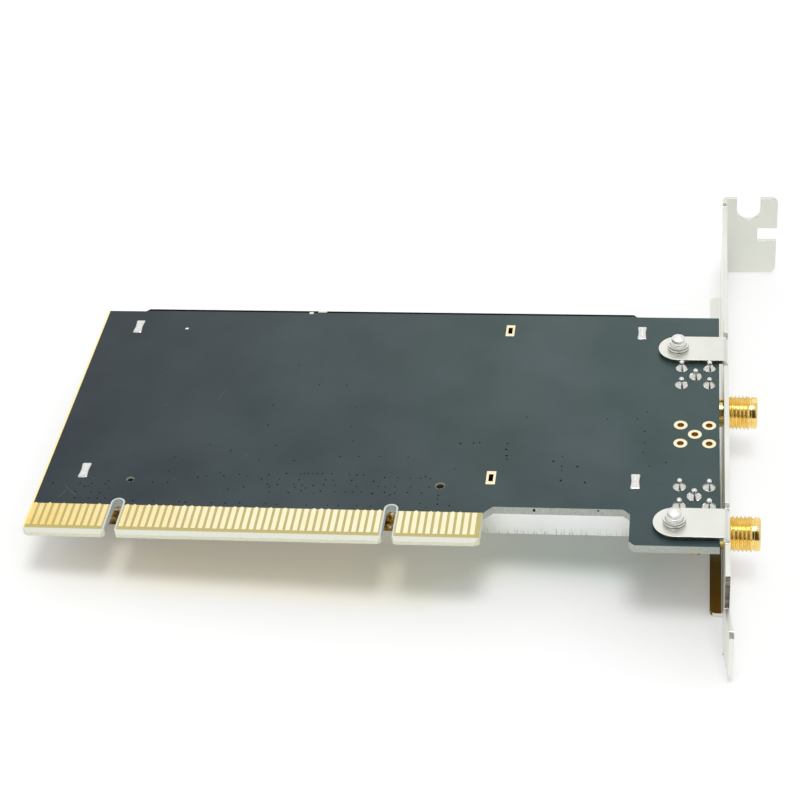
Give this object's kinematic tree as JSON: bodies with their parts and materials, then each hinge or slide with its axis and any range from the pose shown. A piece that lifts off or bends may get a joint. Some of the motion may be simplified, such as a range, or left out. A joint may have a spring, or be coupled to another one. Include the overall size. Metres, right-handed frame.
{
  "type": "wireless network card",
  "caption": "Wireless network expansion card with a keyed gold contact edge, a shielded component side, a folded steel bracket and threaded coaxial antenna jacks.",
  "frame": {"origin": "middle of the board's thickness on the contact edge, at the centre of the key slot nearest the bracket", "axes": "+X along the card towards the bracket, +Y from the contact edge to the far edge, +Z out of the solder side"},
  "size_m": [0.1322, 0.1201, 0.0212],
  "materials": {
    "laminate": "black solder mask, satin",
    "contact_gold": "gold plate over copper, bright",
    "bracket_nickel": "nickel plated steel, satin bright",
    "screw_nickel": "nickel plated steel, bright",
    "jack_gold": "gold plated brass, bright",
    "jack_insulator": "white moulded insulator",
    "solder": "tin solder, bright",
    "shield_tin": "tinned steel, satin",
    "chip_epoxy": "black moulding compound",
    "crystal_can": "welded metal can",
    "coil_ferrite": "dark ferrite",
    "tantalum_case": "moulded case",
    "capacitor_ceramic": "fired ceramic"
  },
  "bodies": {
    "root": {"circuit_board": "laminate", "edge_contacts_solder_side": "contact_gold", "edge_contacts_component_side": "contact_gold", "bracket": "bracket_nickel", "lower_bracket_screw": "screw_nickel", "upper_bracket_screw": "screw_nickel", "lower_jack_body": "jack_gold", "upper_jack_body": "jack_gold", "lower_jack_cap": "jack_gold", "upper_jack_cap": "jack_gold", "lower_jack_contact": "jack_gold", "upper_jack_contact": "jack_gold", "lower_jack_insulator": "jack_insulator", "upper_jack_insulator": "jack_insulator", "jack_solder_joints": "solder", "shield_tab_solder": "solder", "spare_jack_pads": "contact_gold", "spare_shield_pads": "contact_gold", "shield_frame": "shield_tin", "shield_lid": "shield_tin", "host_controller": "chip_epoxy", "radio_chip": "chip_epoxy", "setup_memory": "chip_epoxy", "voltage_regulator": "chip_epoxy", "reference_crystal": "crystal_can", "power_coil": "coil_ferrite", "tank_capacitors": "tantalum_case", "bypass_capacitors": "capacitor_ceramic", "antenna_feed_parts": "capacitor_ceramic"}
  },
  "joints": []
}
